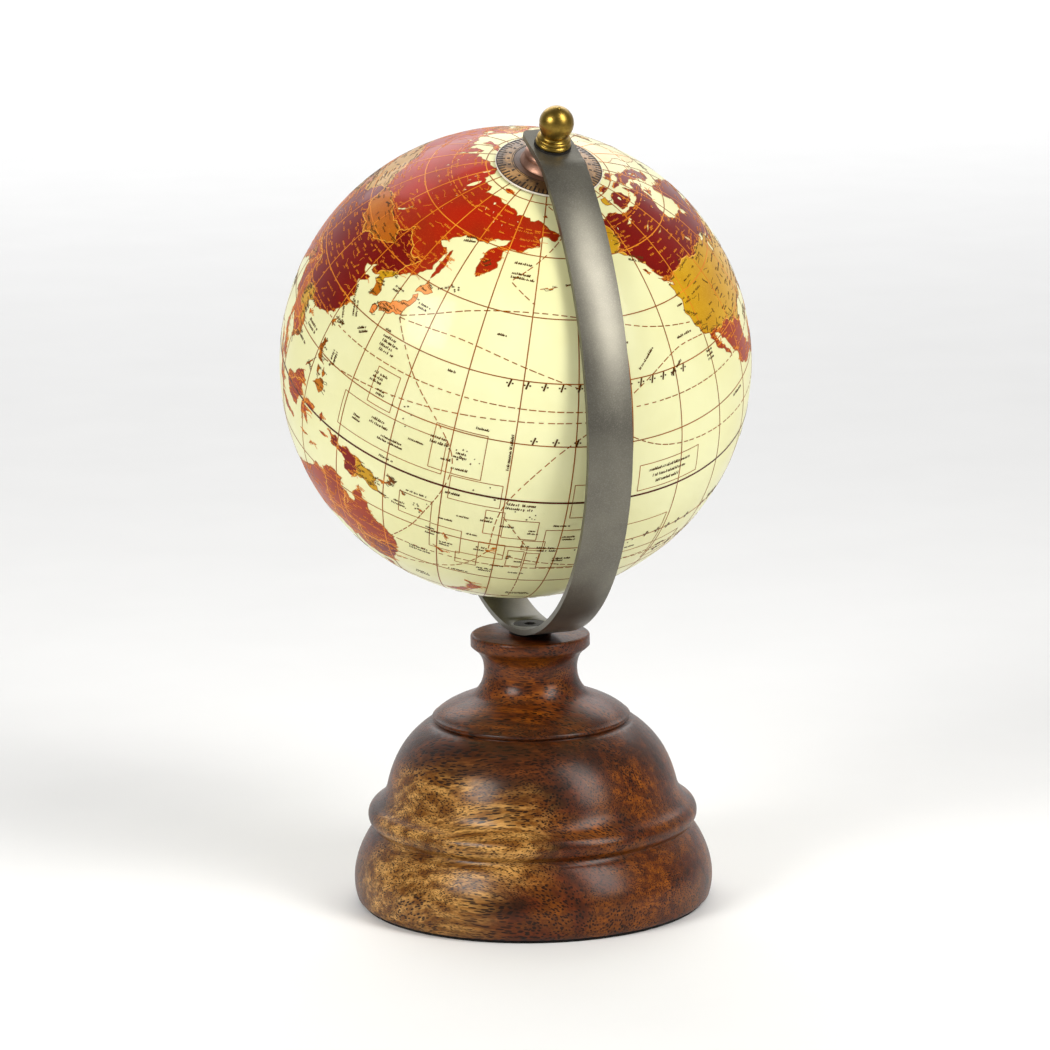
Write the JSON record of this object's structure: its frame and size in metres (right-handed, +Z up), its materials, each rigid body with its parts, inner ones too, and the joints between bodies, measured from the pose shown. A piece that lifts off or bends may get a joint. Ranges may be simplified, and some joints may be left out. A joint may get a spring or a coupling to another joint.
{
  "type": "desktop globe on stand",
  "caption": "Desk globe on a turned wooden base: hollow sphere with a printed map on a tilted axle, held by a bent metal arm, with a turning hour dial and brass knobs.",
  "frame": {"origin": "centre of the round base, on the surface it rests on", "axes": "+Z up along the base's turning axis; the arm lies in the XZ plane and the north pole leans towards +X"},
  "size_m": [0.1337, 0.127, 0.2193],
  "materials": {
    "turned_wood": "satin lacquer over open-pored tropical hardwood",
    "felt": "short black felt",
    "dark_steel": "blackened, dull",
    "pewter_paint": "fine metallic pewter paint, satin",
    "zinc_steel": "zinc plated",
    "copper_plate": "thin satin copper plating",
    "fibre": "matt vulcanised fibre",
    "aged_brass": "aged, polished on the lathe",
    "nylon": "natural moulded nylon",
    "map_paper": "printed map paper under clear gloss lacquer",
    "shell_plastic": "moulded",
    "dial_print": "antique bronze print with black marks"
  },
  "bodies": {
    "stand": {"base_body": "turned_wood", "base_pad": "felt", "arm_spacer": "dark_steel", "meridian_arm": "pewter_paint", "base_bolt": "zinc_steel", "base_washer": "zinc_steel", "base_lock_washer": "zinc_steel", "base_nut": "zinc_steel", "axle_rod": "zinc_steel", "north_jam_nut": "zinc_steel", "north_ferrule": "copper_plate", "finial_washers": "fibre", "north_finial": "aged_brass", "south_finial": "aged_brass", "south_spacer": "zinc_steel", "south_friction_washer": "nylon"},
    "globe": {"north_hemisphere": "map_paper", "south_hemisphere": "map_paper", "equator_ring": "shell_plastic", "north_bushing": "nylon", "south_bushing": "nylon"},
    "dial": {"time_dial": "dial_print"}
  },
  "joints": [
    {"name": "globe_spin", "type": "hinge", "parent": "stand", "child": "globe", "pos_m": [-0.00829, 0, 0.14643], "axis": [0.4415, 0, 0.8973], "continuous": true},
    {"name": "dial_turn", "type": "hinge", "parent": "stand", "child": "dial", "pos_m": [-0.00829, 0, 0.14643], "axis": [0.4415, 0, 0.8973], "continuous": true}
  ]
}
